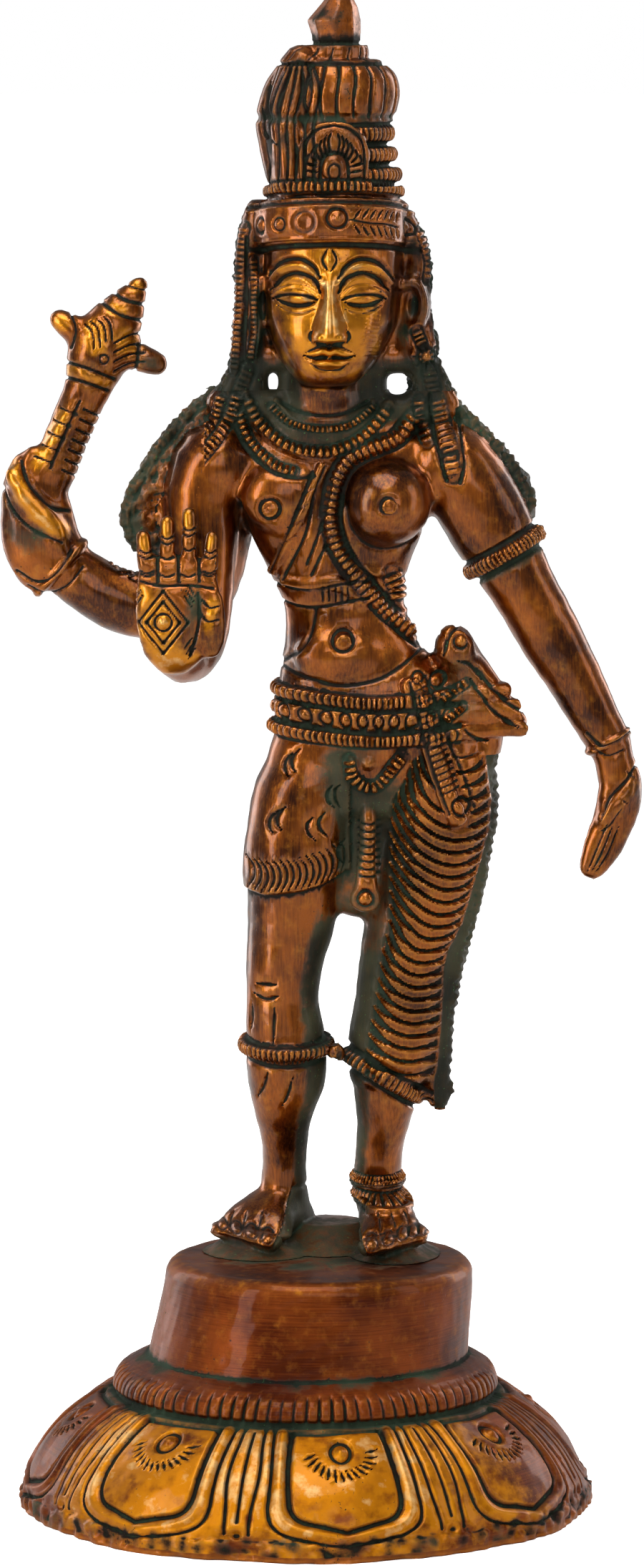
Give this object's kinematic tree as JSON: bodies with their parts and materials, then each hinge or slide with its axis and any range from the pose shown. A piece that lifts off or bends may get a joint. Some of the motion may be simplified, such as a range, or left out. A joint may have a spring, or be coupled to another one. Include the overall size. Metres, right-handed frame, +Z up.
{
  "type": "ardhanarishvara statue",
  "caption": "Brass temple figure, half man and half woman, with an axe and an open hand, standing on a round lotus stand.",
  "frame": {"origin": "centre of the lotus stand's underside", "axes": "+Z up, -Y the way the figure faces, +X to the right of someone who looks at its front"},
  "size_m": [0.1281, 0.1148, 0.2999],
  "materials": {
    "brass_figure": "red-brown patina worn to gold on raised places, dark green in the hollows",
    "brass_stand": "red-brown patina worn to gold on the petals, dark green in the grooves, scratched"
  },
  "bodies": {
    "root": {"figure": "brass_figure", "lotus_stand": "brass_stand"}
  },
  "joints": []
}
